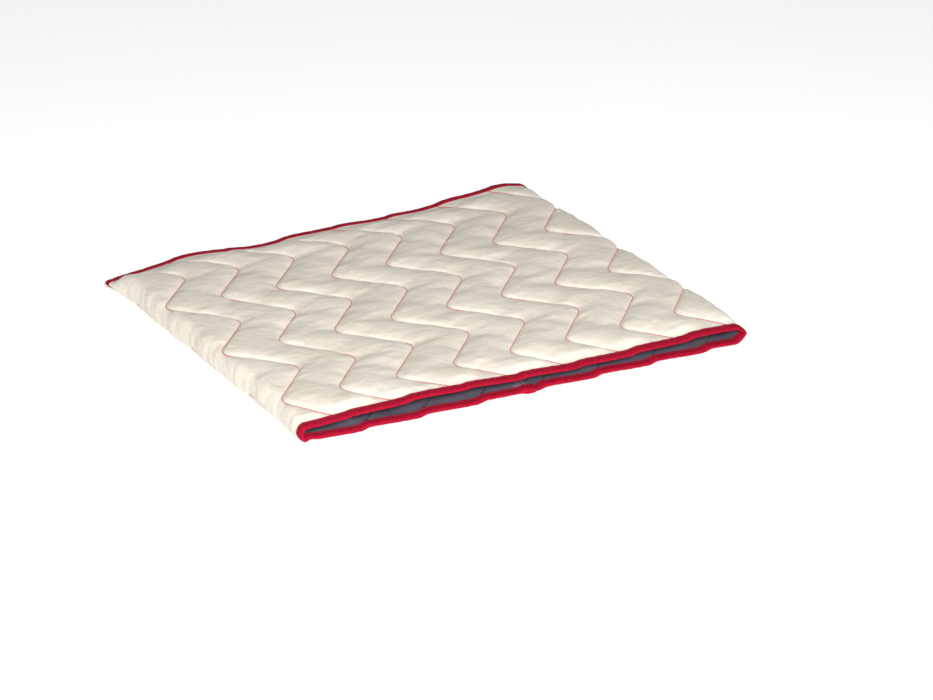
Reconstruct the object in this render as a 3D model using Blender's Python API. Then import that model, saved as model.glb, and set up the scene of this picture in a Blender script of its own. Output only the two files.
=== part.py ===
"""Quilted fabric sleeve: a padded panel joined into a flat tube, open at both ends.

Frame: origin at the middle of the footprint, on the floor. +X runs from fold to fold, +Y from the
front mouth to the rear mouth, +Z up. Metres.

The panel is a canvas cover, a layer of wadding and a lining, quilted together by zigzag rows of
stitching that run from mouth to mouth. Its two ends meet under the sleeve in a taped seam, and each
mouth is edged all round by a folded binding tape.
"""
import math

import bpy

# Overall size
SLEEVE_WIDTH = 0.795
SLEEVE_LENGTH = 0.675
MOUTH_CLEAR_HEIGHT = 0.0180

# Layers of the wall, and the air left between pieces that touch
COVER_T = 0.0008
WADDING_T = 0.0045
LINING_T = 0.0006
TAPE_T = 0.0016
PLY_GAP = 0.0003

# Binding tape
BINDING_LEG = 0.015
BINDING_ROUND = 0.0025
BINDING_ROUND_STEPS = 3
BINDING_STITCH_FROM_EDGE = 0.0115
STITCH_GROOVE_WIDTH = 0.0020
STITCH_GROOVE_DEPTH = 0.0010
BINDING_THREAD_R = 0.0003

# Side folds
FOLD_SEGMENTS = 10
FOLD_NEUTRAL_R = 0.015
FOLD_LEAD_IN = 0.001

# Join under the sleeve
SEAM_X = -0.006
JOIN_GAP = 0.0006
SEAM_TAPE_WIDTH = 0.022
SEAM_TAPE_T = 0.0008
SEAM_STITCH_HALF_SPACING = 0.006
SEAM_THREAD_R = 0.0003

# Zigzag quilting
ROW_COUNT = 16
ROW_PITCH = 0.100
FIRST_ROW_S = -0.706
ZIGZAG_SWING = 0.076
ZIGZAG_HALF_PERIOD = 0.0975
REAR_RIGHT_CORNER_Y = 0.229
CORNER_TRIM = 0.010
QUILT_THREAD_R = 0.0004
END_CLEARANCE = 0.001

# Radii of the layers about the core line of each side fold
R_TAPE_IN = MOUTH_CLEAR_HEIGHT / 2
R_LINING_IN = R_TAPE_IN + TAPE_T + PLY_GAP
R_LINING_OUT = R_LINING_IN + LINING_T
R_WADDING_IN = R_LINING_OUT + PLY_GAP
R_WADDING_OUT = R_WADDING_IN + WADDING_T
R_COVER_IN = R_WADDING_OUT + PLY_GAP
R_COVER_OUT = R_COVER_IN + COVER_T
R_TAPE_OUT = R_COVER_OUT + PLY_GAP + TAPE_T
R_SWEEP = (R_TAPE_IN + R_TAPE_OUT) / 2

CORE_HALF = SLEEVE_WIDTH / 2 - R_TAPE_OUT
CORE_Z = R_TAPE_OUT
FOLD_ARC = math.pi * FOLD_NEUTRAL_R
PANEL_HALF_LENGTH = SLEEVE_LENGTH / 2 - TAPE_T - PLY_GAP
INNER_HALF_LENGTH = SLEEVE_LENGTH / 2 - BINDING_LEG - END_CLEARANCE

# Colours and surface values
CANVAS = (0.80, 0.75, 0.66)
FLEECE = (0.86, 0.85, 0.82)
LINING_GREY = (0.085, 0.075, 0.105)
TAPE_RED = (0.52, 0.012, 0.045)
THREAD_RED = (0.42, 0.10, 0.09)
THREAD_DARK = (0.035, 0.030, 0.045)


def clear_scene():
    for obj in list(bpy.data.objects):
        bpy.data.objects.remove(obj, do_unlink=True)


def new_collection(name):
    collection = bpy.data.collections.new(name)
    bpy.context.scene.collection.children.link(collection)
    return collection


def fabric(name, colour, roughness):
    material = bpy.data.materials.new(name)
    material.use_nodes = True
    shader = material.node_tree.nodes["Principled BSDF"]
    shader.inputs["Base Color"].default_value = (*colour, 1.0)
    shader.inputs["Roughness"].default_value = roughness
    shader.inputs["Metallic"].default_value = 0.0
    return material


def loop_stations():
    """Corners of the wall's path round the tube, as (centre x, outward x, outward z, length along).

    The path starts at the join, runs left along the bottom, round the left fold, right across the
    top, round the right fold and back along the bottom to the join. Length is counted from the
    middle of the top, along the neutral line of the wall. A corner just short of each fold keeps
    the flats exactly level.
    """
    join_left = SEAM_X - JOIN_GAP / 2
    join_right = SEAM_X + JOIN_GAP / 2
    bottom_start = CORE_HALF + FOLD_ARC
    stations = [(join_left, 0.0, -1.0, -bottom_start - (join_left + CORE_HALF))]
    stations.append((FOLD_LEAD_IN - CORE_HALF, 0.0, -1.0, -bottom_start - FOLD_LEAD_IN))
    for step in range(FOLD_SEGMENTS + 1):
        share = step / FOLD_SEGMENTS
        angle = math.pi * (1.5 - share)
        length = -bottom_start + share * FOLD_ARC
        stations.append((-CORE_HALF, math.cos(angle), math.sin(angle), length))
    stations.append((FOLD_LEAD_IN - CORE_HALF, 0.0, 1.0, FOLD_LEAD_IN - CORE_HALF))
    stations.append((CORE_HALF - FOLD_LEAD_IN, 0.0, 1.0, CORE_HALF - FOLD_LEAD_IN))
    for step in range(FOLD_SEGMENTS + 1):
        share = step / FOLD_SEGMENTS
        angle = math.pi * (0.5 - share)
        length = CORE_HALF + share * FOLD_ARC
        stations.append((CORE_HALF, math.cos(angle), math.sin(angle), length))
    stations.append((CORE_HALF - FOLD_LEAD_IN, 0.0, -1.0, bottom_start + FOLD_LEAD_IN))
    stations.append((join_right, 0.0, -1.0, bottom_start + (CORE_HALF - join_right)))
    return stations


STATIONS = loop_stations()


def section_point(station, radius):
    centre_x, out_x, out_z, _ = station
    return centre_x + radius * out_x, CORE_Z + radius * out_z


def on_wall(length, radius):
    """X and Z of a point on the wall, at a length round the tube and a radius of the folds."""
    for before, after in zip(STATIONS, STATIONS[1:]):
        if length <= after[3]:
            share = (length - before[3]) / (after[3] - before[3])
            x0, z0 = section_point(before, radius)
            x1, z1 = section_point(after, radius)
            return x0 + share * (x1 - x0), z0 + share * (z1 - z0)
    return section_point(STATIONS[-1], radius)


def add_curve(name, curve, collection, material):
    obj = bpy.data.objects.new(name, curve)
    curve.materials.append(material)
    collection.objects.link(obj)
    return obj


def new_polyline(name, dimensions, cyclic=False):
    curve = bpy.data.curves.new(name, "CURVE")
    curve.dimensions = dimensions
    curve.fill_mode = "NONE" if dimensions == "2D" else "FULL"
    curve.splines.new("POLY").use_cyclic_u = cyclic
    return curve


def set_points(curve, positions):
    spline = curve.splines[0]
    spline.points.add(len(positions) - 1)
    for point, position in zip(spline.points, positions):
        point.co = (*position, 0.0, 1.0) if len(position) == 2 else (*position, 1.0)


def add_section(name, outline, half_length, collection, material):
    """A solid with one outline in X and Z all along Y: a filled flat curve, extruded both ways."""
    curve = new_polyline(name, "2D", cyclic=True)
    curve.fill_mode = "BOTH"
    curve.extrude = half_length
    set_points(curve, outline)
    obj = add_curve(name, curve, collection, material)
    obj.rotation_euler = (math.pi / 2, 0.0, 0.0)


def add_ply(name, radius_in, radius_out, collection, material):
    """One layer of the wall, wrapped round the tube from one side of the join to the other."""
    outer = [section_point(station, radius_out) for station in STATIONS]
    inner = [section_point(station, radius_in) for station in STATIONS]
    add_section(name, outer + inner[::-1], PANEL_HALF_LENGTH, collection, material)


def add_thread(name, points, radius, resolution, collection, material):
    curve = new_polyline(name, "3D")
    curve.bevel_depth = radius
    curve.bevel_resolution = resolution
    curve.use_fill_caps = True
    set_points(curve, points)
    add_curve(name, curve, collection, material)


def stitch_groove(depth_sign, face_radius):
    """Corners of the narrow groove that the binding's stitching pulls into one leg of the tape."""
    floor_radius = face_radius - depth_sign * STITCH_GROOVE_DEPTH
    near = BINDING_STITCH_FROM_EDGE - STITCH_GROOVE_WIDTH / 2
    far = BINDING_STITCH_FROM_EDGE + STITCH_GROOVE_WIDTH / 2
    return [(near, face_radius), (near, floor_radius), (far, floor_radius), (far, face_radius)]


def rounded_edge(face_radius, centre_radius, start_angle, end_angle):
    """Arc of the tape's fold between one leg and the edge of the mouth."""
    arc = []
    for step in range(BINDING_ROUND_STEPS + 1):
        angle = start_angle + (end_angle - start_angle) * step / BINDING_ROUND_STEPS
        inward = BINDING_ROUND - BINDING_ROUND * math.cos(angle)
        arc.append((inward, centre_radius + BINDING_ROUND * math.sin(angle)))
    return arc


def binding_profile():
    """Closed section of the folded tape, as (distance in from the mouth's edge, radius)."""
    outer_arc = rounded_edge(R_TAPE_OUT, R_TAPE_OUT - BINDING_ROUND, 0.0, math.pi / 2)
    inner_arc = rounded_edge(R_TAPE_IN, R_TAPE_IN + BINDING_ROUND, -math.pi / 2, 0.0)
    profile = inner_arc + outer_arc
    profile += stitch_groove(1.0, R_TAPE_OUT)
    profile += [(BINDING_LEG, R_TAPE_OUT), (BINDING_LEG, R_TAPE_OUT - TAPE_T)]
    profile += [(TAPE_T, R_TAPE_OUT - TAPE_T), (TAPE_T, R_TAPE_IN + TAPE_T)]
    profile += [(BINDING_LEG, R_TAPE_IN + TAPE_T), (BINDING_LEG, R_TAPE_IN)]
    profile += stitch_groove(-1.0, R_TAPE_IN)[::-1]
    return profile


def add_binding(name, end, collection, profiles, material):
    """Folded tape round one mouth: its section carried along the loop as the bevel of a flat curve."""
    section = new_polyline(f"{name}_section", "2D", cyclic=True)
    outline = [(radius - R_SWEEP, end * inward) for inward, radius in binding_profile()]
    set_points(section, outline[::-1] if end > 0 else outline)
    profile = bpy.data.objects.new(section.name, section)
    profile.hide_render = True
    profile.display_type = "WIRE"
    profiles.objects.link(profile)

    path = new_polyline(name, "2D")
    centre_line = [section_point(station, R_SWEEP) for station in STATIONS]
    set_points(path, [(x, z - CORE_Z) for x, z in centre_line])
    path.bevel_mode = "OBJECT"
    path.bevel_object = profile
    path.use_fill_caps = True
    obj = add_curve(name, path, collection, material)
    obj.rotation_euler = (math.pi / 2, 0.0, 0.0)
    obj.location = (0.0, end * SLEEVE_LENGTH / 2, CORE_Z)


def zigzag_corners(row_length):
    """Ends and corners of one quilting row, as (length round the tube, y), from rear to front."""
    corners = []
    right = False
    y = REAR_RIGHT_CORNER_Y + ZIGZAG_HALF_PERIOD
    while y > -INNER_HALF_LENGTH - ZIGZAG_HALF_PERIOD:
        corners.append((row_length if right else row_length - ZIGZAG_SWING, y))
        right = not right
        y -= ZIGZAG_HALF_PERIOD
    rear = clipped(corners[1], corners[0], INNER_HALF_LENGTH)
    front = clipped(corners[-2], corners[-1], -INNER_HALF_LENGTH)
    return [rear] + corners[1:-1] + [front]


def clipped(inside, outside, y_limit):
    share = (y_limit - inside[1]) / (outside[1] - inside[1])
    return inside[0] + share * (outside[0] - inside[0]), y_limit


def softened(corners):
    """The same run with each corner turned in three short steps, as a sewing head turns it."""
    run = [corners[0]]
    for before, corner, after in zip(corners, corners[1:], corners[2:]):
        entry = toward(corner, before, CORNER_TRIM)
        leave = toward(corner, after, CORNER_TRIM)
        middle = ((entry[0] + leave[0] + 2 * corner[0]) / 4, (entry[1] + leave[1] + 2 * corner[1]) / 4)
        run += [entry, middle, leave]
    return run + [corners[-1]]


def toward(start, goal, distance):
    share = distance / math.dist(start, goal)
    return start[0] + share * (goal[0] - start[0]), start[1] + share * (goal[1] - start[1])


def split_at_stations(run):
    """Adds a point wherever the run crosses an edge of the faceted folds."""
    edges = [station[3] for station in STATIONS]
    result = [run[0]]
    for before, after in zip(run, run[1:]):
        crossed = [edge for edge in edges if min(before[0], after[0]) < edge < max(before[0], after[0])]
        crossed.sort(reverse=after[0] < before[0])
        for edge in crossed:
            share = (edge - before[0]) / (after[0] - before[0])
            result.append((edge, before[1] + share * (after[1] - before[1])))
        result.append(after)
    return result


def row_points(row_length, radius):
    run = split_at_stations(softened(zigzag_corners(row_length)))
    points = []
    for length, y in run:
        x, z = on_wall(length, radius)
        points.append((x, y, z))
    return points


def loop_points(y, radius):
    points = []
    for station in STATIONS:
        x, z = section_point(station, radius)
        points.append((x, y, z))
    return points


def build_panel(collection):
    add_ply("outer_cover", R_COVER_IN, R_COVER_OUT, collection, fabric("cream_canvas", CANVAS, 0.9))
    add_ply("wadding", R_WADDING_IN, R_WADDING_OUT, collection, fabric("wadding_fleece", FLEECE, 1.0))
    add_ply("lining", R_LINING_IN, R_LINING_OUT, collection, fabric("lining_cloth", LINING_GREY, 0.8))


def build_seam(collection):
    """Tape over the join on the inside, and the two stitch lines through it."""
    low_z = CORE_Z - R_LINING_IN + PLY_GAP
    high_z = low_z + SEAM_TAPE_T
    left = SEAM_X - SEAM_TAPE_WIDTH / 2
    right = SEAM_X + SEAM_TAPE_WIDTH / 2
    outline = [(left, low_z), (right, low_z), (right, high_z), (left, high_z)]
    tape = fabric("seam_tape_cloth", LINING_GREY, 0.75)
    add_section("seam_tape", outline, INNER_HALF_LENGTH, collection, tape)
    levels = (("needle_thread", CORE_Z - R_COVER_OUT - PLY_GAP - SEAM_THREAD_R, THREAD_RED),
              ("bobbin_thread", high_z + PLY_GAP + SEAM_THREAD_R, THREAD_DARK))
    for kind, z, colour in levels:
        material = fabric(f"seam_{kind}", colour, 0.6)
        for side, sign in (("left", -1.0), ("right", 1.0)):
            x = SEAM_X + sign * SEAM_STITCH_HALF_SPACING
            line = [(x, INNER_HALF_LENGTH, z), (x, -INNER_HALF_LENGTH, z)]
            add_thread(f"seam_{kind}_{side}", line, SEAM_THREAD_R, 2, collection, material)


def build_bindings(collection, profiles):
    outer_radius = R_TAPE_OUT - STITCH_GROOVE_DEPTH + PLY_GAP + BINDING_THREAD_R
    inner_radius = R_TAPE_IN + STITCH_GROOVE_DEPTH - PLY_GAP - BINDING_THREAD_R
    tape = fabric("binding_tape", TAPE_RED, 0.7)
    thread = fabric("binding_thread", TAPE_RED, 0.6)
    for place, end in (("front", -1.0), ("rear", 1.0)):
        add_binding(f"{place}_binding", end, collection, profiles, tape)
        y = end * (SLEEVE_LENGTH / 2 - BINDING_STITCH_FROM_EDGE)
        for kind, radius in (("needle_thread", outer_radius), ("bobbin_thread", inner_radius)):
            name = f"{place}_binding_{kind}"
            add_thread(name, loop_points(y, radius), BINDING_THREAD_R, 1, collection, thread)


def build_quilting(collection):
    needle = fabric("quilting_thread", THREAD_RED, 0.6)
    bobbin = fabric("quilting_bobbin_thread", THREAD_DARK, 0.6)
    needle_radius = R_COVER_OUT + PLY_GAP + QUILT_THREAD_R
    bobbin_radius = R_LINING_IN - PLY_GAP - QUILT_THREAD_R
    for row in range(ROW_COUNT):
        length = FIRST_ROW_S + row * ROW_PITCH
        outside = row_points(length, needle_radius)
        inside = row_points(length, bobbin_radius)
        label = f"{row + 1:02d}"
        add_thread(f"quilting_thread_{label}", outside, QUILT_THREAD_R, 1, collection, needle)
        add_thread(f"quilting_bobbin_{label}", inside, QUILT_THREAD_R, 1, collection, bobbin)


def main():
    clear_scene()
    sleeve = new_collection("quilted_sleeve")
    build_panel(sleeve)
    build_seam(sleeve)
    build_bindings(sleeve, new_collection("profiles"))
    build_quilting(sleeve)


main()
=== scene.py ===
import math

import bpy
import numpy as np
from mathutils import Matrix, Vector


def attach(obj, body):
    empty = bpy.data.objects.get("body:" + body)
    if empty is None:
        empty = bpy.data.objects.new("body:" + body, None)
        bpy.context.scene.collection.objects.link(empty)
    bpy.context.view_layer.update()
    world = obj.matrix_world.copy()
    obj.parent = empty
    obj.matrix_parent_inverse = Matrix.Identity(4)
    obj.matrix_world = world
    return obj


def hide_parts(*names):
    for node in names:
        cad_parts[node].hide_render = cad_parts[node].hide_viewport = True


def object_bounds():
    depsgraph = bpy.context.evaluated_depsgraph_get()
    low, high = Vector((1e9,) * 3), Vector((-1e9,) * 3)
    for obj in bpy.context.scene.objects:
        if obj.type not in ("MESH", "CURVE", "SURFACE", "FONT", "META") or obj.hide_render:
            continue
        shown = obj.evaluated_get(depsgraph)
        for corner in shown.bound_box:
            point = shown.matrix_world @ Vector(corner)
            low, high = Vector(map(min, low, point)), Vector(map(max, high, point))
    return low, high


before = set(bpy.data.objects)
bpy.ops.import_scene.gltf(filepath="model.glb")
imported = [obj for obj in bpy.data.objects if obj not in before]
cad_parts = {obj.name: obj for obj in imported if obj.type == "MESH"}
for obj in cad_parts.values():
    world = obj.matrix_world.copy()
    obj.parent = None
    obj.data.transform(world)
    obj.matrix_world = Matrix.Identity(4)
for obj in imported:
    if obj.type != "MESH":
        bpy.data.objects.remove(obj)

# A quilted fabric sleeve lying flat. The whole wall is drawn on one flat panel, as (s, y, h):
# s runs round the tube from one side of the join to the other, zero at the middle of the top,
# y runs from the front mouth to the rear mouth, and h stands off the plane of the stitching.
# A cloth simulation puffs the panel between its rows of stitching, and wall_shape() then lays it
# round the flattened tube. Lengths are metres.

CAD_LOW, CAD_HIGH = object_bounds()
WIDTH = CAD_HIGH[0] - CAD_LOW[0]
LENGTH = CAD_HIGH[1] - CAD_LOW[1]
HEIGHT = CAD_HIGH[2] - CAD_LOW[2]
HALF_LENGTH = LENGTH / 2

# The tube's section: two flats joined by a fold at each side, as in the CAD
FOLD_NEUTRAL_R = 0.015
FOLD_ARC = math.pi * FOLD_NEUTRAL_R
FLAT_HALF = WIDTH / 2 - HEIGHT / 2
SEAM_X = -0.006
PANEL_START = -(FLAT_HALF + FOLD_ARC + SEAM_X + FLAT_HALF)
PANEL_END = FLAT_HALF + FOLD_ARC + FLAT_HALF - SEAM_X

# Quilting rows
ROW_COUNT = 16
ROW_PITCH = 0.100
FIRST_ROW_S = -0.705
ZIGZAG_SWING = 0.078
ZIGZAG_HALF_PERIOD = 0.0975
REAR_RIGHT_CORNER_Y = 0.229
CORNER_ROUNDING = 0.016

# The wall, and the air left between pieces that touch
TAPE_T = 0.0016
COVER_T = 0.0008
LINING_T = 0.0006
PLY_GAP = 0.0003
WADDING_SINK = 0.0016
STITCHED_WALL_T = 0.0042
WALL_END = 0.0035
BINDING_LEG = 0.015
BINDING_STITCH_FROM_EDGE = 0.0115
BINDING_LAP = 0.018
SEAM_ALLOWANCE = 0.008
SEAM_RIDGE = 0.0013
SEAM_TAPE_WIDTH = 0.022
SEAM_TAPE_T = 0.0008
SEAM_STITCH_HALF_SPACING = 0.006
SEAM_FLAT = 0.010
SEAM_RISE = 0.022
END_CLEARANCE = 0.001
INNER_HALF_LENGTH = HALF_LENGTH - BINDING_LEG - END_CLEARANCE

# Grid of the simulated panel, and how hard it is puffed
CELLS_PER_CHANNEL = 16
CELLS_ALONG = 112
SIM_FRAMES = 12
PRESSURE = 90.0
EXTRA_CLOTH = 0.012
BENDING = 60.0
START_LIFT = 0.0015
START_RIPPLE = 0.0006

# The relief after the simulation. The two FULLNESS values are powers: below 1 they fill the
# channels closer to the stitching. The rises are lengths over which the relief grows from a binding.
FULLEST = 0.0112
FULLNESS = 0.60
FRONT_RISE = 0.014
REAR_RISE = 0.036
PUCKER = 0.0006
PUCKER_ONSET = 0.004
LINING_RELIEF_SHARE = 0.56
LINING_FULLNESS = 0.6


def smooth(t):
    t = np.clip(t, 0.0, 1.0)
    return t * t * (3.0 - 2.0 * t)


def hump(x, centre, width):
    return np.exp(-(((x - centre) / width) ** 2))


class Noise:
    """Smooth seeded noise over the panel: a coarse random lattice, read with a smooth blend."""

    def __init__(self, seed, cell_s, cell_y):
        self.cell = (cell_s, cell_y)
        self.grid = np.random.default_rng(seed).uniform(-1.0, 1.0, (64, 64))

    def __call__(self, s, y):
        a = s / self.cell[0] + 32.0
        b = y / self.cell[1] + 32.0
        i = np.floor(a).astype(int)
        j = np.floor(b).astype(int)
        u = smooth(a - i)
        v = smooth(b - j)
        g = self.grid
        i %= 64
        j %= 64
        k = (i + 1) % 64
        m = (j + 1) % 64
        low = g[i, j] * (1 - u) + g[k, j] * u
        high = g[i, m] * (1 - u) + g[k, m] * u
        return low * (1 - v) + high * v


# ---------------------------------------------------------------- quilting pattern

def zigzag(y):
    """How far left of its right-hand corners a row of stitching runs, at a distance along the sleeve."""
    phase = (REAR_RIGHT_CORNER_Y - np.asarray(y, float)) / ZIGZAG_HALF_PERIOD
    triangle = 1.0 - np.abs((phase % 2.0) - 1.0)
    reach = CORNER_ROUNDING / ZIGZAG_HALF_PERIOD
    low = np.maximum(reach - triangle, 0.0)
    high = np.maximum(triangle - (1.0 - reach), 0.0)
    rounded = triangle + (low**2 - high**2) / (2 * reach)
    return ZIGZAG_SWING * (rounded - reach / 2) / (1.0 - reach)


def row_s(row, y):
    return FIRST_ROW_S + row * ROW_PITCH - zigzag(y)


def panel_columns():
    """Each grid column as (row to its left, share of the way to the next row); -1 is the join."""
    half = CELLS_PER_CHANNEL // 2
    columns = [(-1, c / half) for c in range(half)]
    for row in range(ROW_COUNT - 1):
        columns += [(row, c / CELLS_PER_CHANNEL) for c in range(CELLS_PER_CHANNEL)]
    columns += [(ROW_COUNT - 1, c / half) for c in range(half + 1)]
    return columns


def panel_grid():
    """s and y of every grid point, columns first, and which columns are stitched."""
    y = np.linspace(-HALF_LENGTH + WALL_END, HALF_LENGTH - WALL_END, CELLS_ALONG + 1)
    lines = [np.full_like(y, PANEL_START)]
    lines += [row_s(row, y) for row in range(ROW_COUNT)]
    lines += [np.full_like(y, PANEL_END)]
    columns = panel_columns()
    s = np.array([lines[row + 1] * (1 - f) + lines[row + 2 if row + 2 < len(lines) else -1] * f
                  for row, f in columns])
    stitched = np.array([f in (0.0, 1.0) for _, f in columns])
    return s, np.broadcast_to(y, s.shape).copy(), stitched


# ---------------------------------------------------------------- puffed relief, by cloth simulation

def grid_faces(columns, rows):
    c, r = np.meshgrid(np.arange(columns - 1), np.arange(rows - 1), indexing="ij")
    first = (c * rows + r).ravel()
    return np.stack([first, first + rows, first + rows + 1, first + 1], axis=1)


def mesh_object(name, points, faces):
    mesh = bpy.data.meshes.new(name)
    mesh.from_pydata(points.tolist(), [], faces.tolist())
    mesh.shade_smooth()
    obj = bpy.data.objects.new(name, mesh)
    bpy.context.scene.collection.objects.link(obj)
    return obj


def puffed_panel():
    """The quilted panel after the simulation, as an array of (s, y, h) for every grid point."""
    s, y, stitched = panel_grid()
    held = np.zeros(s.shape, bool)
    held[stitched] = True
    held |= np.abs(y) > HALF_LENGTH - BINDING_LEG
    start = START_LIFT * (1.0 + Noise(3, 0.030, 0.030)(s, y)) + START_RIPPLE * Noise(4, 0.012, 0.012)(s, y)
    points = np.stack([s, y, np.where(held, 0.0, start)], axis=-1)
    shape = points.shape
    flat = points.reshape(-1, 3)
    obj = mesh_object("panel_simulation", flat, grid_faces(shape[0], shape[1]))
    pins = obj.vertex_groups.new(name="stitched")
    pins.add(np.flatnonzero(held).tolist(), 1.0, "REPLACE")
    cloth = obj.modifiers.new("Cloth", "CLOTH")
    settings = cloth.settings
    settings.quality = 6
    settings.mass = 0.15
    settings.air_damping = 3.0
    settings.vertex_group_mass = "stitched"
    settings.tension_stiffness = 40.0
    settings.compression_stiffness = 40.0
    settings.shear_stiffness = 15.0
    settings.bending_stiffness = BENDING
    settings.tension_damping = 10.0
    settings.compression_damping = 10.0
    settings.shear_damping = 10.0
    settings.shrink_min = -EXTRA_CLOTH
    settings.use_pressure = True
    settings.uniform_pressure_force = PRESSURE
    settings.effector_weights.gravity = 0.0
    cloth.collision_settings.use_collision = False
    scene = bpy.context.scene
    cloth.point_cache.frame_end = SIM_FRAMES
    for frame_number in range(1, SIM_FRAMES + 1):
        scene.frame_set(frame_number)
    evaluated = obj.evaluated_get(bpy.context.evaluated_depsgraph_get())
    result = np.empty(len(flat) * 3)
    evaluated.data.vertices.foreach_get("co", result)
    bpy.data.objects.remove(obj, do_unlink=True)
    scene.frame_set(1)
    return result.reshape(shape)


def from_join(s):
    """Distance round the tube from the join, where the panel's two ends meet."""
    return np.minimum(np.abs(s - PANEL_START), np.abs(s - PANEL_END))


def steepened(h, power):
    """Relief made fuller close to the stitching; at its fullest it stays as high as it was."""
    return FULLEST * (np.clip(h, 0.0, None) / FULLEST) ** power


def filled_out(grid):
    """The wadding fills each channel up to its stitching, and stops at the binding and the join."""
    s, y, h = np.moveaxis(grid, -1, 0)
    rise = np.where(y < 0.0, FRONT_RISE, REAR_RISE)
    inside_bindings = smooth((INNER_HALF_LENGTH - np.abs(y)) / rise)
    beside_join = smooth((from_join(s) - SEAM_FLAT) / SEAM_RISE)
    return np.stack([s, y, steepened(h, FULLNESS) * inside_bindings * beside_join], axis=-1)


def puckered(grid):
    """Adds the fine wrinkles of the cloth between the stitching."""
    s, y, h = np.moveaxis(grid, -1, 0)
    wrinkle = Noise(12, 0.026, 0.010)(s, y) + 0.7 * Noise(13, 0.013, 0.022)(s, y)
    return np.stack([s, y, h + PUCKER * wrinkle * smooth(h / PUCKER_ONSET)], axis=-1)


def softened(grid, times):
    """Averages each free point with its neighbours; the stitched columns and the outer points stay."""
    _, _, stitched = panel_grid()
    held = grid[stitched]
    for _ in range(times):
        inner = grid[1:-1, 1:-1]
        around = grid[:-2, 1:-1] + grid[2:, 1:-1] + grid[1:-1, :-2] + grid[1:-1, 2:]
        grid[1:-1, 1:-1] = 0.5 * inner + 0.125 * around
        grid[stitched] = held
    return grid


def refined(grid):
    """Halves the grid's steps along its first axis, on smooth curves through its points."""
    padded_grid = np.concatenate([2 * grid[:1] - grid[1:2], grid, 2 * grid[-1:] - grid[-2:-1]])
    middle = (9.0 * (padded_grid[1:-2] + padded_grid[2:-1]) - padded_grid[:-3] - padded_grid[3:]) / 16.0
    out = np.empty((2 * len(grid) - 1, *grid.shape[1:]))
    out[::2] = grid
    out[1::2] = middle
    return out


def refined_both(grid):
    across = refined(grid)
    return refined(across.swapaxes(0, 1)).swapaxes(0, 1)


# ---------------------------------------------------------------- the flattened tube

PERIMETER = PANEL_END - PANEL_START
FLOOR_CLEARANCE = 0.0004
FRONT_TOP = 0.0314
BODY_TOP = 0.0350
BODY_BOTTOM_RISE = 0.0022
BODY_UNEVENNESS = 0.0012
# Waves of the front mouth's top edge, and of the body's top, as (height, centre, half width)
FRONT_WAVES = [(0.0045, -0.165, 0.09), (-0.0035, 0.115, 0.11), (0.002, 0.34, 0.05)]
BODY_WAVES = [(0.004, -0.330, 0.100), (0.005, 0.360, 0.080)]
# The front mouth's top edge drops towards its left end, from here and over this distance
FRONT_LEFT_DROP = 0.0035
FRONT_LEFT_FROM = 0.31
FRONT_LEFT_OVER = 0.07
# Height of the rear mouth's top edge at places across it: low at the left, full at the right
REAR_TOP = [(-0.395, 0.013), (-0.355, 0.017), (-0.325, 0.020), (-0.290, 0.026), (-0.240, 0.032),
            (-0.190, 0.030), (-0.130, 0.0225), (-0.090, 0.024), (-0.060, 0.028), (0.040, 0.030),
            (0.100, 0.028), (0.150, 0.030), (0.180, 0.029), (0.215, 0.033), (0.240, 0.037),
            (0.290, 0.040), (0.335, 0.046), (0.370, 0.044), (0.395, 0.036)]
REAR_TOP_SHIFTS = (-0.016, -0.008, 0.0, 0.008, 0.016)
RIM_REACH = 0.085

# How far the folds stand out past the flats, and how sharp the right one is at the front mouth
LEFT_DEPTH = 0.0105
RIGHT_DEPTH = 0.0100
RIGHT_FRONT_DEPTH = 0.0115
RIGHT_REAR_DEPTH = 0.0110
RIGHT_PINCH = 0.35

# The left side: cloth rolled over the edge from the top, drawn in, and lifted at the front corner
LEFT_ROLL = 0.009
LEFT_ROLL_FROM = 0.386
LEFT_ROLL_RAMP = 0.018
LEFT_ROLL_UNTIL = 0.44
LEFT_ROLL_FADE = 0.10
LEFT_ROLL_RIM_LOSS = 0.6
LEFT_DRAW = 0.0050
LEFT_CORNER_LIFT = 0.0030

# Steps at the rows' ends round a mouth, and the lift over the join
SHINGLE_RISE = 0.16
FRONT_SHINGLE = 0.0022
REAR_SHINGLE = 0.0014
UNDER_SHINGLE = 0.0036
SEAM_LIFT = 0.0008
SEAM_LIFT_WIDTH = 0.024

# Limits of height, and how gently points are eased under or over them
HIGHEST = 0.0475
EASING = 0.0045
FLOOR_EASING = 0.0022
FLOOR_TRAVEL = 0.9 * FLOOR_EASING

# What the floor and the folds do to the relief; the angles are radians round a fold from the top
UNDER_FROM = 1.8
UNDER_OVER = 1.2
FLOOR_RELIEF = 0.0030
CREASE = 0.0006
CREASE_ONSET = 0.002
FOLD_TAUTNESS = 0.75


def waves(x, parts):
    return sum(height * hump(x, centre, width) for height, centre, width in parts)


def front_top(x):
    left = smooth((-x - FRONT_LEFT_FROM) / FRONT_LEFT_OVER)
    return FRONT_TOP + waves(x, FRONT_WAVES) - FRONT_LEFT_DROP * left


def rear_top(x):
    places, heights = zip(*REAR_TOP)
    near = sum(np.interp(x + shift, places, heights) for shift in REAR_TOP_SHIFTS)
    return near / len(REAR_TOP_SHIFTS)


def body_top(x, y):
    return BODY_TOP + waves(x, BODY_WAVES) + BODY_UNEVENNESS * Noise(8, 0.13, 0.15)(x, y)


def row_share(s, y_rim):
    """Share of the way from one row's end at a mouth to the next one's, round the tube."""
    ends = [float(row_s(row, y_rim)) for row in range(ROW_COUNT)]
    knots = [ends[-1] - PERIMETER] + ends + [ends[0] + PERIMETER]
    return np.interp(s, knots, np.arange(len(knots))) % 1.0


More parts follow.
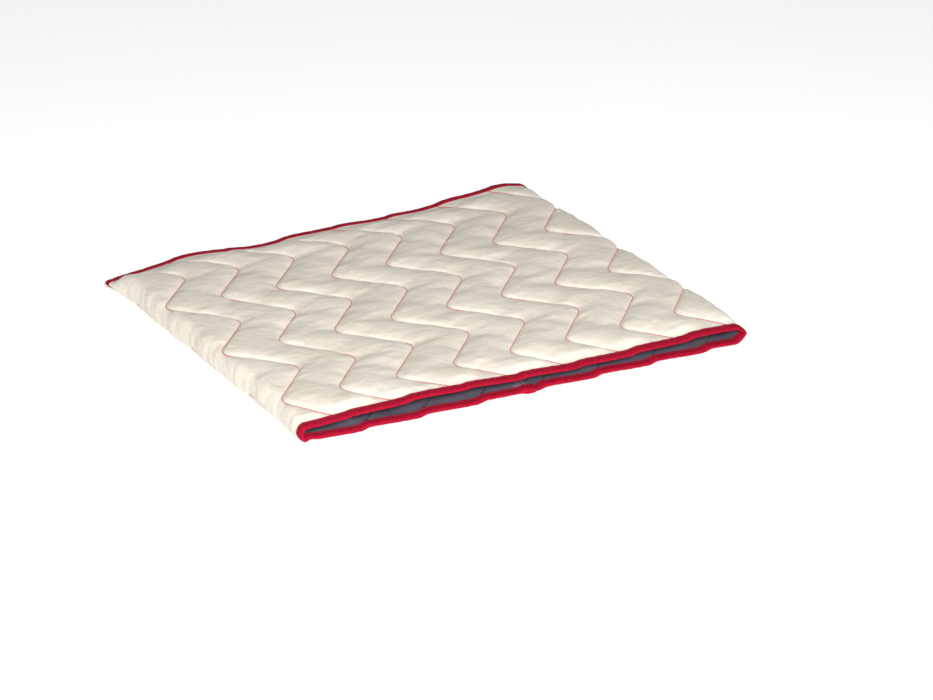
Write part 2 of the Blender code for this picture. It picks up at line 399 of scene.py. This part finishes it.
def shingle(share):
    """The edge of a mouth stands full just past each row of stitching and sinks towards the next."""
    return smooth(share / SHINGLE_RISE) * (1.0 - smooth((share - SHINGLE_RISE) / (1.0 - SHINGLE_RISE)))


def flat_place(s, y):
    """Distance across the sleeve, side (+1 right, -1 left) and angle round a fold, for a length."""
    side = np.where(s < 0.0, -1.0, 1.0)
    away = np.abs(s)
    rim = smooth((np.abs(y) + RIM_REACH - HALF_LENGTH) / RIM_REACH)
    begun = smooth((away - LEFT_ROLL_FROM) / LEFT_ROLL_RAMP)
    ended = smooth((away - LEFT_ROLL_UNTIL) / LEFT_ROLL_FADE)
    rolled = begun * (1.0 - ended) * (side < 0)
    away = away + LEFT_ROLL * rolled * (1.0 - LEFT_ROLL_RIM_LOSS * rim)
    turn = np.clip((away - FLAT_HALF) / FOLD_ARC, 0.0, 1.0) * math.pi
    over = np.minimum(away, FLAT_HALF)
    under = 2 * FLAT_HALF + FOLD_ARC - away
    return side * np.where(away < FLAT_HALF + FOLD_ARC, over, under), side, turn


def wall_shape(s, y):
    """Where a point of the wall's stitched plane lies in the sleeve."""
    x, side, turn = flat_place(s, y)
    near_front = 1.0 - smooth((y + HALF_LENGTH) / RIM_REACH)
    near_rear = 1.0 - smooth((HALF_LENGTH - y) / RIM_REACH)
    body = 1.0 - near_front - near_rear
    front_share = row_share(s, -HALF_LENGTH)
    rear_share = row_share(s, HALF_LENGTH)
    ripple = (FRONT_SHINGLE * near_front * shingle(front_share)
              + REAR_SHINGLE * near_rear * shingle(rear_share))
    under_ripple = UNDER_SHINGLE * (near_front * shingle(1.0 - front_share)
                                    + near_rear * shingle(1.0 - rear_share))
    top = (near_front * front_top(x) + near_rear * (rear_top(x) - TAPE_T) + body * body_top(x, y)
           + ripple)
    lap = SEAM_LIFT * hump(x, SEAM_X, SEAM_LIFT_WIDTH) * (1.0 - body)
    corner = LEFT_CORNER_LIFT * near_front * smooth((-x - 0.355) / 0.025)
    bottom = TAPE_T + FLOOR_CLEARANCE + BODY_BOTTOM_RISE * body + under_ripple + lap + corner
    middle = (top + bottom) / 2
    half = (top - bottom) / 2
    right_depth = RIGHT_DEPTH + RIGHT_FRONT_DEPTH * near_front + RIGHT_REAR_DEPTH * near_rear
    pinch = RIGHT_PINCH * near_front * (side > 0)
    bulge = np.where(side < 0, LEFT_DEPTH, right_depth)
    reach = (1.0 - pinch) * np.sin(turn) + pinch * (1.0 - np.abs(np.cos(turn)))
    z = middle + half * np.cos(turn)
    drawn_in = LEFT_DRAW * body * smooth((-x - 0.20) / 0.16)
    return np.stack([x + drawn_in + side * bulge * reach, y, z], axis=-1)


def settled(points):
    """Eases points off the floor and under the height of the highest fold."""
    z = points[..., 2]
    above = np.maximum(z - (HIGHEST - EASING), 0.0)
    below = np.maximum(FLOOR_EASING - z, 0.0)
    eased = (z - above + EASING * np.tanh(above / EASING)
             + below - FLOOR_TRAVEL * np.tanh(below / FLOOR_TRAVEL))
    return np.concatenate([points[..., :2], eased[..., None]], axis=-1)


def unit(vectors):
    return vectors / np.linalg.norm(vectors, axis=-1, keepdims=True)


def wall_frame(s, y, step=0.0015):
    """Point of the stitched plane and the outward direction there."""
    point = wall_shape(s, y)
    along_s = wall_shape(s + step, y) - wall_shape(s - step, y)
    along_y = wall_shape(s, y + step) - wall_shape(s, y - step)
    return point, unit(np.cross(along_s, along_y))


def pressed_by_floor(s, y, relief):
    """The underside keeps little of its relief, because it lies on the floor, and the folds are taut."""
    _, _, turn = flat_place(s, y)
    under = smooth((turn - UNDER_FROM) / UNDER_OVER)
    flattened = FLOOR_RELIEF * np.tanh(relief / FLOOR_RELIEF)
    creases = CREASE * (Noise(14, 0.018, 0.008)(s, y) + Noise(15, 0.008, 0.014)(s, y))
    taut = (relief * (1.0 - FOLD_TAUTNESS * np.sin(turn))
            + creases * np.sin(turn) * smooth(relief / CREASE_ONSET))
    return taut * (1.0 - under) + flattened * under


def lining_depth(s, y, relief):
    """How far the lining's inner face lies in from the stitched plane, fuller where the floor presses."""
    pressed = pressed_by_floor(s, y, relief)
    fullness = (LINING_RELIEF_SHARE * steepened(relief, LINING_FULLNESS)
                + 0.5 * np.maximum(relief - pressed, 0.0))
    return STITCHED_WALL_T + fullness + SEAM_RIDGE * seam_closeness(s)


def seam_closeness(s):
    return hump(from_join(s), 0.0, SEAM_ALLOWANCE)


# ---------------------------------------------------------------- pieces

BINDING_STEP = 0.0025
TAPE_WOBBLE = 0.00035
TAPE_FOLD_POINTS = 11
# The inside of the folded tape: how deep its edge lies, and how far it stays off the two legs
TAPE_INSIDE_DEPTH = 0.0030
TAPE_INSIDE_GAP = 0.0001
# The tape's upper end rises onto its lower one over this length, and only its outermost part moves out
LAP_FROM = 0.004
LAP_OVER = 0.008
LAP_OUTERMOST = 0.004

def closed_slab(name, upper, lower):
    """A closed body between two grids of points that match one to one."""
    upper = settled(upper)
    lower = settled(lower)
    columns, rows = upper.shape[:2]
    count = columns * rows
    points = np.concatenate([upper.reshape(-1, 3), lower.reshape(-1, 3)])
    top = grid_faces(columns, rows)
    index = np.arange(count).reshape(columns, rows)
    ring = np.concatenate([index[:-1, 0], index[-1, :-1], index[:0:-1, -1], index[0, :0:-1]])
    after = np.roll(ring, -1)
    side = np.stack([ring + count, after + count, after, ring], axis=1)
    return mesh_object(name, points, np.concatenate([top, top[:, ::-1] + count, side]))


def tube(name, centres, normals, radius, sides=6):
    """A closed round thread along a run of points, with the way up at each."""
    forward = unit(np.gradient(centres, axis=0))
    across = unit(np.cross(forward, normals))
    up = np.cross(across, forward)
    angles = np.linspace(0.0, 2 * math.pi, sides, endpoint=False)
    rings = (centres[:, None] + radius * np.cos(angles)[None, :, None] * across[:, None]
             + radius * np.sin(angles)[None, :, None] * up[:, None])
    faces = ring_faces(len(centres), sides)
    return points_with_caps(name, rings, faces)


def ring_faces(rings, sides):
    ring, corner = np.meshgrid(np.arange(rings - 1), np.arange(sides), indexing="ij")
    first = (ring * sides + corner).ravel()
    following = (ring * sides + (corner + 1) % sides).ravel()
    return np.stack([first, following, following + sides, first + sides], axis=1)


def points_with_caps(name, rings, faces):
    rings = settled(rings)
    sides = rings.shape[1]
    last = (len(rings) - 1) * sides
    cap_faces = [list(range(sides))[::-1], list(range(last, last + sides))]
    mesh = bpy.data.meshes.new(name)
    mesh.from_pydata(rings.reshape(-1, 3).tolist(), [], faces.tolist() + cap_faces)
    mesh.shade_smooth()
    obj = bpy.data.objects.new(name, mesh)
    bpy.context.scene.collection.objects.link(obj)
    return obj


def stitched_run(name, s, y, height, radius, stitch, dip):
    """Stitches along a run on the wall: one thread that rises between the needle holes and dips in them."""
    point, out = wall_frame(s, y)
    length = np.concatenate([[0.0], np.cumsum(np.linalg.norm(np.diff(point, axis=0), axis=1))])
    wave = np.abs(np.sin(math.pi * length / stitch)) ** 0.6
    return tube(name, point + out * (height - dip * (1.0 - wave))[:, None], out, radius)


def add_cover(relief):
    s, y, h = np.moveaxis(relief, -1, 0)
    point, out = wall_frame(s, y)
    height = pressed_by_floor(s, y, h)[..., None]
    return closed_slab("cover_quilted", point + out * height, point + out * (height - COVER_T))


def add_wadding(relief):
    s, y, h = np.moveaxis(relief, -1, 0)
    point, out = wall_frame(s, y)
    height = pressed_by_floor(s, y, h)
    upper = point + out * (height - COVER_T - WADDING_SINK)[..., None]
    lower = point - out * (lining_depth(s, y, h) - LINING_T - PLY_GAP)[..., None]
    return closed_slab("wadding_layer", upper, lower)


def add_lining(relief):
    s, y, h = np.moveaxis(relief, -1, 0)
    point, out = wall_frame(s, y)
    depth = lining_depth(s, y, h)[..., None]
    return closed_slab("lining_quilted", point - out * (depth - LINING_T), point - out * depth)


def tape_half_profile():
    """Outer half of the tape's section from its inner edge to the fold, as (in from the edge, height)."""
    leg = [(0.0148, 0.0002), (0.0151, 0.0006), (0.0150, 0.0012), (0.0143, 0.0016), (0.0130, 0.0015)]
    stitch = [(0.0123, 0.0012), (0.0115, 0.0007), (0.0107, 0.0012)]
    roll = [(0.0098, 0.0016), (0.0087, 0.0017), (0.0076, 0.0016)]
    return leg + stitch + roll


def tape_profile():
    """Closed section of the folded tape, heights from the stitched plane; the fold is an arc."""
    outer = tape_half_profile()
    centre = -STITCHED_WALL_T / 2
    depth = outer[-1][0]
    half = outer[-1][1] - centre
    arc = [(depth - depth * math.sin(angle), centre + half * math.cos(angle))
           for angle in np.linspace(0.0, math.pi, TAPE_FOLD_POINTS)[1:-1]]
    mirrored = [(inward, 2 * centre - height) for inward, height in outer[::-1]]
    inside = [(TAPE_INSIDE_DEPTH, 2 * centre - TAPE_INSIDE_GAP), (TAPE_INSIDE_DEPTH, TAPE_INSIDE_GAP)]
    return outer + arc + mirrored + inside


def add_binding(name, end):
    s = np.arange(PANEL_START - BINDING_LAP, PANEL_END, BINDING_STEP)
    profile = tape_profile()
    rings = np.empty((len(s), len(profile), 3))
    pucker = Noise(20 + int(end), 0.007, 0.007)
    lift = TAPE_T * smooth((PANEL_START + LAP_FROM - s) / LAP_OVER)
    centre = -STITCHED_WALL_T / 2
    for k, (inward, height) in enumerate(profile):
        wobble = TAPE_WOBBLE * pucker(s, np.full_like(s, inward))
        side = 1.0 if height > centre else -1.0
        ridge = SEAM_RIDGE * seam_closeness(s) if side < 0 else 0.0
        y = end * (HALF_LENGTH - inward + lift * (inward < LAP_OUTERMOST))
        point, out = wall_frame(s, np.broadcast_to(y, s.shape))
        rings[:, k] = point + out * (height + side * (wobble + lift) - ridge)[:, None]
    if end < 0:
        rings = rings[:, ::-1]
    return points_with_caps(name, rings, ring_faces(len(s), len(profile)))


def add_seam_tape():
    across = np.linspace(-SEAM_TAPE_WIDTH / 2, SEAM_TAPE_WIDTH / 2, 9)
    y = np.linspace(-1.0, 1.0, 161) * INNER_HALF_LENGTH
    s, yy = np.meshgrid(PANEL_END + across, y, indexing="ij")
    point, out = wall_frame(s, yy)
    depth = (lining_depth(s, yy, np.zeros_like(s)) + PLY_GAP)[..., None]
    crease = 0.0003 * (1.0 + Noise(31, 0.006, 0.012)(s, yy))[..., None]
    return closed_slab("seam_tape_inside", point - out * depth,
                       point - out * (depth + SEAM_TAPE_T + crease))


def add_seam_stitches():
    made = []
    y = np.arange(-INNER_HALF_LENGTH, INNER_HALF_LENGTH, 0.0007)
    for side, offset in (("left", SEAM_STITCH_HALF_SPACING), ("right", -SEAM_STITCH_HALF_SPACING)):
        s = np.full_like(y, PANEL_END + offset)
        needle = stitched_run(f"seam_stitches_{side}", s, y, height=0.0003, radius=0.0004,
                              stitch=0.004, dip=0.0008)
        made.append((needle, f"seam_needle_thread_{side}", "seam_needle_thread"))
        depth = lining_depth(s, y, np.zeros_like(s)) + 0.0017
        bobbin = stitched_run(f"seam_bobbin_stitches_{side}", s, y, height=-depth, radius=0.0004,
                              stitch=0.004, dip=-0.0006)
        made.append((bobbin, f"seam_bobbin_thread_{side}", "seam_bobbin_thread"))
    return made


def add_quilting_stitches():
    made = []
    half_run = HALF_LENGTH - BINDING_LEG - 0.0004
    y = np.arange(-half_run, half_run, 0.0005)
    under = -(STITCHED_WALL_T + 0.0003)
    for row in range(ROW_COUNT):
        label = f"{row + 1:02d}"
        s = row_s(row, y)
        needle = stitched_run(f"quilting_stitches_{label}", s, y, height=0.00042, radius=0.00070,
                              stitch=0.0042, dip=0.0008)
        made.append((needle, f"quilting_thread_{label}", "quilting_thread"))
        # The bobbin thread is drawn much thicker than a real thread and near-black: partly the real thread,
        # partly painted shade standing in for the shadow in the lining's stitched grooves.
        bobbin = stitched_run(f"quilting_bobbin_stitches_{label}", s[::2], y[::2], height=under,
                              radius=0.0016, stitch=0.0042, dip=-0.0004)
        made.append((bobbin, f"quilting_bobbin_{label}", "quilting_bobbin_thread"))
    return made


def add_binding_stitches(place, end):
    made = []
    s = np.arange(PANEL_START + 0.002, PANEL_END - 0.002, 0.0007)
    y = np.full_like(s, end * (HALF_LENGTH - BINDING_STITCH_FROM_EDGE))
    needle = stitched_run(f"{place}_binding_stitches", s, y, height=0.0009, radius=0.0004,
                          stitch=0.0035, dip=0.0006)
    made.append((needle, f"{place}_binding_needle_thread", "binding_thread"))
    depth = STITCHED_WALL_T + SEAM_RIDGE * seam_closeness(s)
    bobbin = stitched_run(f"{place}_binding_inner_stitches", s, y, height=-(depth + 0.0009),
                          radius=0.0004, stitch=0.0035, dip=-0.0006)
    made.append((bobbin, f"{place}_binding_bobbin_thread", "binding_thread"))
    return made


# ---------------------------------------------------------------- materials

class Surface:
    """A Principled material with the nodes that vary it, in the object's own metres."""

    def __init__(self, name, colour, roughness, sheen=0.0):
        self.material = bpy.data.materials.new(name)
        self.material.use_nodes = True
        self.tree = self.material.node_tree
        self.shader = self.tree.nodes["Principled BSDF"]
        self.shader.inputs["Base Color"].default_value = (*colour, 1.0)
        self.shader.inputs["Roughness"].default_value = roughness
        self.shader.inputs["Specular IOR Level"].default_value = 0.25
        self.shader.inputs["Sheen Weight"].default_value = sheen
        self.shader.inputs["Sheen Roughness"].default_value = 0.5
        self.place = self.tree.nodes.new("ShaderNodeTexCoord").outputs["Object"]

    def node(self, kind, **inputs):
        made = self.tree.nodes.new(kind)
        for name, value in inputs.items():
            socket = made.inputs[name.replace("_", " ")]
            if isinstance(value, bpy.types.NodeSocket):
                self.tree.links.new(value, socket)
            else:
                socket.default_value = value
        return made

    def noise(self, size, detail=2.0, roughness=0.5):
        made = self.node("ShaderNodeTexNoise", Vector=self.place, Scale=1.0 / size, Detail=detail,
                         Roughness=roughness)
        return made.outputs["Fac"]

    def math(self, operation, first, second):
        made = self.tree.nodes.new("ShaderNodeMath")
        made.operation = operation
        for socket, value in zip(made.inputs, (first, second)):
            if isinstance(value, bpy.types.NodeSocket):
                self.tree.links.new(value, socket)
            else:
                socket.default_value = value
        return made.outputs[0]

    def weave(self, pitch, turned=0.0):
        """Over-and-under threads: two crossing sets of ridges that take turns to be on top."""
        mapping = self.node("ShaderNodeMapping", Vector=self.place, Rotation=(0.0, 0.0, turned))
        split = self.node("ShaderNodeSeparateXYZ", Vector=mapping.outputs[0])
        waves = []
        for axis in ("X", "Y"):
            turns = self.math("MULTIPLY", split.outputs[axis], math.pi / pitch)
            waves.append(self.math("SINE", turns, 0.0))
        crossing = self.math("MULTIPLY", waves[0], waves[1])
        warp = self.math("MULTIPLY", self.math("ABSOLUTE", waves[0], 0.0), 0.5)
        weft = self.math("MULTIPLY", self.math("ABSOLUTE", waves[1], 0.0), 0.5)
        return self.math("ADD", self.math("MULTIPLY", crossing, 0.5), self.math("ADD", warp, weft))

    def bump(self, height, distance, strength=1.0, onto=None):
        made = self.node("ShaderNodeBump", Height=height, Distance=distance, Strength=strength)
        if onto is not None:
            self.tree.links.new(onto, made.inputs["Normal"])
        return made.outputs["Normal"]

    def set_normal(self, normal):
        self.tree.links.new(normal, self.shader.inputs["Normal"])

    def set_colour(self, factor, dark, light):
        ramp = self.node("ShaderNodeValToRGB", Fac=factor)
        ramp.color_ramp.elements[0].position = 0.3
        ramp.color_ramp.elements[0].color = (*dark, 1.0)
        ramp.color_ramp.elements[1].position = 0.7
        ramp.color_ramp.elements[1].color = (*light, 1.0)
        self.tree.links.new(ramp.outputs["Color"], self.shader.inputs["Base Color"])

    def set_roughness(self, factor, low, high):
        spread = self.node("ShaderNodeMapRange", Value=factor, To_Min=low, To_Max=high)
        self.tree.links.new(spread.outputs["Result"], self.shader.inputs["Roughness"])


def canvas():
    surface = Surface("cream_canvas", (0.80, 0.76, 0.67), 0.85, sheen=0.15)
    blotch = surface.noise(0.090, 3.0)
    slub = surface.noise(0.0022, 2.0)
    mixed = surface.math("ADD", surface.math("MULTIPLY", blotch, 0.65), surface.math("MULTIPLY", slub, 0.35))
    surface.set_colour(mixed, (0.71, 0.645, 0.545), (0.805, 0.745, 0.655))
    surface.set_roughness(slub, 0.78, 0.92)
    crumple = surface.bump(surface.noise(0.012, 3.0, 0.5), 0.0017)
    surface.set_normal(surface.bump(surface.weave(0.0008), 0.00012, 0.6, crumple))
    return surface.material


def fleece():
    surface = Surface("wadding_fleece", (0.86, 0.85, 0.82), 1.0, sheen=0.3)
    fibres = surface.noise(0.0015, 5.0, 0.7)
    surface.set_colour(fibres, (0.78, 0.77, 0.73), (0.90, 0.89, 0.86))
    surface.set_normal(surface.bump(fibres, 0.0006))
    return surface.material


def lining_cloth(name, dark, light):
    surface = Surface(name, light, 0.75, sheen=0.2)
    mottle = surface.noise(0.030, 3.0)
    surface.set_colour(mottle, dark, light)
    crumple = surface.bump(surface.noise(0.012, 2.0), 0.0010)
    surface.set_normal(surface.bump(surface.weave(0.0006), 0.00008, 0.6, crumple))
    return surface.material


def red_tape():
    surface = Surface("binding_tape", (0.50, 0.006, 0.032), 0.8)
    surface.shader.inputs["Specular IOR Level"].default_value = 0.08
    mottle = surface.noise(0.006, 3.0)
    surface.set_colour(mottle, (0.29, 0.003, 0.020), (0.37, 0.006, 0.028))
    surface.set_roughness(mottle, 0.72, 0.88)
    crumple = surface.bump(surface.noise(0.004, 2.0), 0.0004)
    surface.set_normal(surface.bump(surface.weave(0.0006, 0.78), 0.00012, 0.8, crumple))
    return surface.material


def thread(name, dark, light):
    surface = Surface(name, light, 0.65, sheen=0.2)
    fibre = surface.noise(0.0006, 3.0, 0.6)
    surface.set_colour(fibre, dark, light)
    surface.set_normal(surface.bump(fibre, 0.0001))
    return surface.material


def dress(piece, material, nodes):
    piece.data.materials.clear()
    piece.data.materials.append(material)
    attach(piece, "root")
    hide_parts(*nodes)


# ---------------------------------------------------------------- floor, lights and camera

def add_floor():
    size = 14.0
    corners = np.array([(-size, -size, 0.0), (size, -size, 0.0), (size, size, 0.0), (-size, size, 0.0)])
    floor = mesh_object("floor", corners, np.array([[0, 1, 2, 3]]))
    surface = Surface("floor_paint", (0.94, 0.94, 0.94), 0.9)
    surface.set_colour(surface.noise(0.5), (0.93, 0.93, 0.93), (0.95, 0.95, 0.95))
    surface.shader.inputs["Emission Color"].default_value = (1.0, 1.0, 1.0, 1.0)
    surface.shader.inputs["Emission Strength"].default_value = 0.45
    floor.data.materials.append(surface.material)


def aim(obj, target, roll=0.0):
    toward = Vector(target) - obj.location
    facing = toward.to_track_quat("-Z", "Y").to_matrix()
    obj.rotation_euler = (facing @ Matrix.Rotation(roll, 3, "Z")).to_euler()


def around(target, azimuth, elevation, distance):
    """A place at a bearing and height from a target; azimuth 0 is in front, looking along +Y."""
    a = math.radians(azimuth)
    e = math.radians(elevation)
    back = (math.sin(a) * math.cos(e), -math.cos(a) * math.cos(e), math.sin(e))
    return [t + distance * b for t, b in zip(target, back)]


def add_area_light(name, azimuth, elevation, distance, size, power):
    light = bpy.data.lights.new(name, "AREA")
    light.shape = "DISK"
    light.size = size
    light.energy = power
    obj = bpy.data.objects.new(name, light)
    bpy.context.scene.collection.objects.link(obj)
    obj.location = around((0.0, 0.0, 0.0), azimuth, elevation, distance)
    aim(obj, (0.0, 0.0, 0.0))


def add_world(strength):
    world = bpy.data.worlds.new("studio")
    world.use_nodes = True
    background = world.node_tree.nodes["Background"]
    background.inputs["Color"].default_value = (1.0, 1.0, 1.0, 1.0)
    background.inputs["Strength"].default_value = strength
    bpy.context.scene.world = world


def add_camera(target, azimuth, elevation, distance, roll, lens):
    camera = bpy.data.cameras.new("camera")
    camera.sensor_width = 36.0
    camera.lens = lens
    obj = bpy.data.objects.new("camera", camera)
    bpy.context.scene.collection.objects.link(obj)
    obj.location = around(target, azimuth, elevation, distance)
    aim(obj, target, math.radians(roll))
    bpy.context.scene.camera = obj


def build():
    relief = puffed_panel()
    relief = softened(relief, 3)
    relief = filled_out(relief)
    fine = puckered(refined_both(relief))
    cream = canvas()
    wadding = fleece()
    lining = lining_cloth("lining_cloth", (0.056, 0.048, 0.070), (0.088, 0.076, 0.106))
    tape_grey = lining_cloth("seam_tape_cloth", (0.10, 0.088, 0.125), (0.15, 0.132, 0.18))
    red = red_tape()
    red_thread = thread("quilting_thread", (0.40, 0.03, 0.03), (0.55, 0.07, 0.06))
    seam_thread = thread("seam_needle_thread", (0.40, 0.03, 0.03), (0.55, 0.07, 0.06))
    # Near-black bobbin colour: partly the thread's own dark colour, partly painted shade for the shadowed
    # grooves in the lining.
    bobbin_thread_and_painted_groove_shade = thread("quilting_bobbin_thread", (0.004, 0.003, 0.005), (0.010, 0.008, 0.012))
    seam_dark = thread("seam_bobbin_thread", (0.004, 0.003, 0.005), (0.010, 0.008, 0.012))
    edge_thread = thread("binding_thread", (0.16, 0.004, 0.012), (0.24, 0.006, 0.018))
    threads = {"quilting_thread": red_thread, "seam_needle_thread": seam_thread,
               "quilting_bobbin_thread": bobbin_thread_and_painted_groove_shade, "seam_bobbin_thread": seam_dark,
               "binding_thread": edge_thread}

    cover = add_cover(fine)
    dress(cover, cream, ["outer_cover"])
    filling = add_wadding(relief)
    dress(filling, wadding, ["wadding"])
    inner = add_lining(relief)
    dress(inner, lining, ["lining"])
    seam = add_seam_tape()
    dress(seam, tape_grey, ["seam_tape"])
    made = add_seam_stitches() + add_quilting_stitches()
    for place, end in (("front", -1), ("rear", 1)):
        edge = add_binding(f"{place}_binding_tape", end)
        dress(edge, red, [f"{place}_binding"])
        made += add_binding_stitches(place, end)
    for piece, node, slot in made:
        dress(piece, threads[slot], [node])


build()
add_floor()
add_world(0.245)
add_area_light("key", azimuth=-22.0, elevation=29.0, distance=4.0, size=1.2, power=200.0)
add_camera((-0.025, -0.193, 0.0225), azimuth=-30.72, elevation=24.0, distance=5.676, roll=1.108, lens=142.2)
bpy.context.scene.view_settings.view_transform = "Standard"
